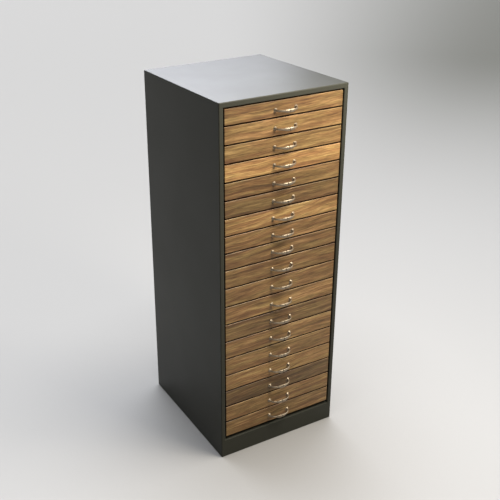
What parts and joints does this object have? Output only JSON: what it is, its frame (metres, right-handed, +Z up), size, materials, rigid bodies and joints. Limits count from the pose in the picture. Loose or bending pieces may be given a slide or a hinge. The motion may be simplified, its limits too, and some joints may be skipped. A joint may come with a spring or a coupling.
{
  "type": "drawer cabinet",
  "caption": "Tall narrow floor-standing steel cabinet with one column of shallow drawers for spectacles, wooden fronts and small bow pulls.",
  "frame": {"origin": "On the floor, in the middle of the width and of the whole depth, pulls included.", "axes": "+Z up, +X to the right seen from the front, +Y to the back; the drawers open towards -Y."},
  "size_m": [0.4, 0.463, 1.09],
  "materials": {
    "body_steel": "satin charcoal powder coat",
    "rail_steel": "bright zinc plate",
    "tray_steel": "satin charcoal powder coat",
    "front_wood": "oiled walnut, long grain",
    "pull_nickel": "satin champagne nickel"
  },
  "bodies": {
    "cabinet": {"cabinet_shell": "body_steel", "back_panel": "body_steel", "runner_rails": "rail_steel"},
    "drawer_01": {"drawer_front_01": "front_wood", "drawer_tray_01": "tray_steel", "bow_pull_01": "pull_nickel"},
    "drawer_02": {"drawer_front_02": "front_wood", "drawer_tray_02": "tray_steel", "bow_pull_02": "pull_nickel"},
    "drawer_03": {"drawer_front_03": "front_wood", "drawer_tray_03": "tray_steel", "bow_pull_03": "pull_nickel"},
    "drawer_04": {"drawer_front_04": "front_wood", "drawer_tray_04": "tray_steel", "bow_pull_04": "pull_nickel"},
    "drawer_05": {"drawer_front_05": "front_wood", "drawer_tray_05": "tray_steel", "bow_pull_05": "pull_nickel"},
    "drawer_06": {"drawer_front_06": "front_wood", "drawer_tray_06": "tray_steel", "bow_pull_06": "pull_nickel"},
    "drawer_07": {"drawer_front_07": "front_wood", "drawer_tray_07": "tray_steel", "bow_pull_07": "pull_nickel"},
    "drawer_08": {"drawer_front_08": "front_wood", "drawer_tray_08": "tray_steel", "bow_pull_08": "pull_nickel"},
    "drawer_09": {"drawer_front_09": "front_wood", "drawer_tray_09": "tray_steel", "bow_pull_09": "pull_nickel"},
    "drawer_10": {"drawer_front_10": "front_wood", "drawer_tray_10": "tray_steel", "bow_pull_10": "pull_nickel"},
    "drawer_11": {"drawer_front_11": "front_wood", "drawer_tray_11": "tray_steel", "bow_pull_11": "pull_nickel"},
    "drawer_12": {"drawer_front_12": "front_wood", "drawer_tray_12": "tray_steel", "bow_pull_12": "pull_nickel"},
    "drawer_13": {"drawer_front_13": "front_wood", "drawer_tray_13": "tray_steel", "bow_pull_13": "pull_nickel"},
    "drawer_14": {"drawer_front_14": "front_wood", "drawer_tray_14": "tray_steel", "bow_pull_14": "pull_nickel"},
    "drawer_15": {"drawer_front_15": "front_wood", "drawer_tray_15": "tray_steel", "bow_pull_15": "pull_nickel"},
    "drawer_16": {"drawer_front_16": "front_wood", "drawer_tray_16": "tray_steel", "bow_pull_16": "pull_nickel"},
    "drawer_17": {"drawer_front_17": "front_wood", "drawer_tray_17": "tray_steel", "bow_pull_17": "pull_nickel"},
    "drawer_18": {"drawer_front_18": "front_wood", "drawer_tray_18": "tray_steel", "bow_pull_18": "pull_nickel"},
    "drawer_19": {"drawer_front_19": "front_wood", "drawer_tray_19": "tray_steel", "bow_pull_19": "pull_nickel"}
  },
  "joints": [
    {"name": "drawer_01_slide", "type": "slide", "parent": "cabinet", "child": "drawer_01", "axis": [0, -1, 0], "range_m": [0, 0.3]},
    {"name": "drawer_02_slide", "type": "slide", "parent": "cabinet", "child": "drawer_02", "axis": [0, -1, 0], "range_m": [0, 0.3]},
    {"name": "drawer_03_slide", "type": "slide", "parent": "cabinet", "child": "drawer_03", "axis": [0, -1, 0], "range_m": [0, 0.3]},
    {"name": "drawer_04_slide", "type": "slide", "parent": "cabinet", "child": "drawer_04", "axis": [0, -1, 0], "range_m": [0, 0.3]},
    {"name": "drawer_05_slide", "type": "slide", "parent": "cabinet", "child": "drawer_05", "axis": [0, -1, 0], "range_m": [0, 0.3]},
    {"name": "drawer_06_slide", "type": "slide", "parent": "cabinet", "child": "drawer_06", "axis": [0, -1, 0], "range_m": [0, 0.3]},
    {"name": "drawer_07_slide", "type": "slide", "parent": "cabinet", "child": "drawer_07", "axis": [0, -1, 0], "range_m": [0, 0.3]},
    {"name": "drawer_08_slide", "type": "slide", "parent": "cabinet", "child": "drawer_08", "axis": [0, -1, 0], "range_m": [0, 0.3]},
    {"name": "drawer_09_slide", "type": "slide", "parent": "cabinet", "child": "drawer_09", "axis": [0, -1, 0], "range_m": [0, 0.3]},
    {"name": "drawer_10_slide", "type": "slide", "parent": "cabinet", "child": "drawer_10", "axis": [0, -1, 0], "range_m": [0, 0.3]},
    {"name": "drawer_11_slide", "type": "slide", "parent": "cabinet", "child": "drawer_11", "axis": [0, -1, 0], "range_m": [0, 0.3]},
    {"name": "drawer_12_slide", "type": "slide", "parent": "cabinet", "child": "drawer_12", "axis": [0, -1, 0], "range_m": [0, 0.3]},
    {"name": "drawer_13_slide", "type": "slide", "parent": "cabinet", "child": "drawer_13", "axis": [0, -1, 0], "range_m": [0, 0.3]},
    {"name": "drawer_14_slide", "type": "slide", "parent": "cabinet", "child": "drawer_14", "axis": [0, -1, 0], "range_m": [0, 0.3]},
    {"name": "drawer_15_slide", "type": "slide", "parent": "cabinet", "child": "drawer_15", "axis": [0, -1, 0], "range_m": [0, 0.3]},
    {"name": "drawer_16_slide", "type": "slide", "parent": "cabinet", "child": "drawer_16", "axis": [0, -1, 0], "range_m": [0, 0.3]},
    {"name": "drawer_17_slide", "type": "slide", "parent": "cabinet", "child": "drawer_17", "axis": [0, -1, 0], "range_m": [0, 0.3]},
    {"name": "drawer_18_slide", "type": "slide", "parent": "cabinet", "child": "drawer_18", "axis": [0, -1, 0], "range_m": [0, 0.3]},
    {"name": "drawer_19_slide", "type": "slide", "parent": "cabinet", "child": "drawer_19", "axis": [0, -1, 0], "range_m": [0, 0.3]}
  ]
}
